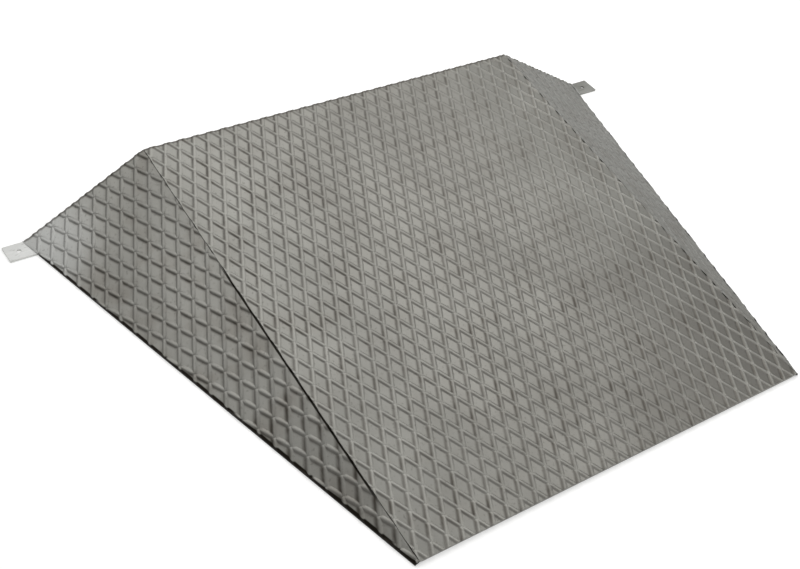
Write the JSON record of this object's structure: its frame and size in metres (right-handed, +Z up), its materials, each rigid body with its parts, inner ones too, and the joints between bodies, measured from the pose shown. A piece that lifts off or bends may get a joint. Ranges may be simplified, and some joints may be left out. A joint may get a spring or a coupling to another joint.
{
  "type": "access ramp",
  "caption": "Low hipped ramp of raised-pattern metal plate: a sloped rectangular deck with triangular side wings and drilled floor ears, for a raised doorway.",
  "frame": {"origin": "on the floor, under the middle of the ramp's footprint", "axes": "+X across the ramp, +Y towards the wall it stands against, which is its high end, +Z up"},
  "size_m": [1.508, 0.99, 0.152],
  "materials": {
    "tread_plate": "weathered mill finish, raised rhombic pattern",
    "mill_bar": "mill finish",
    "ear_plate": "bright plain mill finish",
    "weld_bead": "as welded"
  },
  "bodies": {
    "root": {"deck_plate": "tread_plate", "left_wing_plate": "tread_plate", "right_wing_plate": "tread_plate", "rear_plate": "mill_bar", "toe_bar": "mill_bar", "stringer_left_edge": "mill_bar", "stringer_left_inner": "mill_bar", "stringer_centre": "mill_bar", "stringer_right_inner": "mill_bar", "stringer_right_edge": "mill_bar", "cross_bar_1": "mill_bar", "cross_bar_2": "mill_bar", "cross_bar_3": "mill_bar", "cross_bar_4": "mill_bar", "left_gusset_rear": "mill_bar", "left_gusset_front": "mill_bar", "right_gusset_rear": "mill_bar", "right_gusset_front": "mill_bar", "left_ear": "ear_plate", "right_ear": "ear_plate", "left_ear_weld": "weld_bead", "right_ear_weld": "weld_bead", "left_ridge_weld": "weld_bead", "right_ridge_weld": "weld_bead", "weld_left_edge_rear": "weld_bead", "weld_left_edge_front": "weld_bead", "weld_left_inner_rear": "weld_bead", "weld_left_inner_front": "weld_bead", "weld_centre_rear": "weld_bead", "weld_centre_front": "weld_bead", "weld_right_inner_rear": "weld_bead", "weld_right_inner_front": "weld_bead", "weld_right_edge_rear": "weld_bead", "weld_right_edge_front": "weld_bead"}
  },
  "joints": []
}
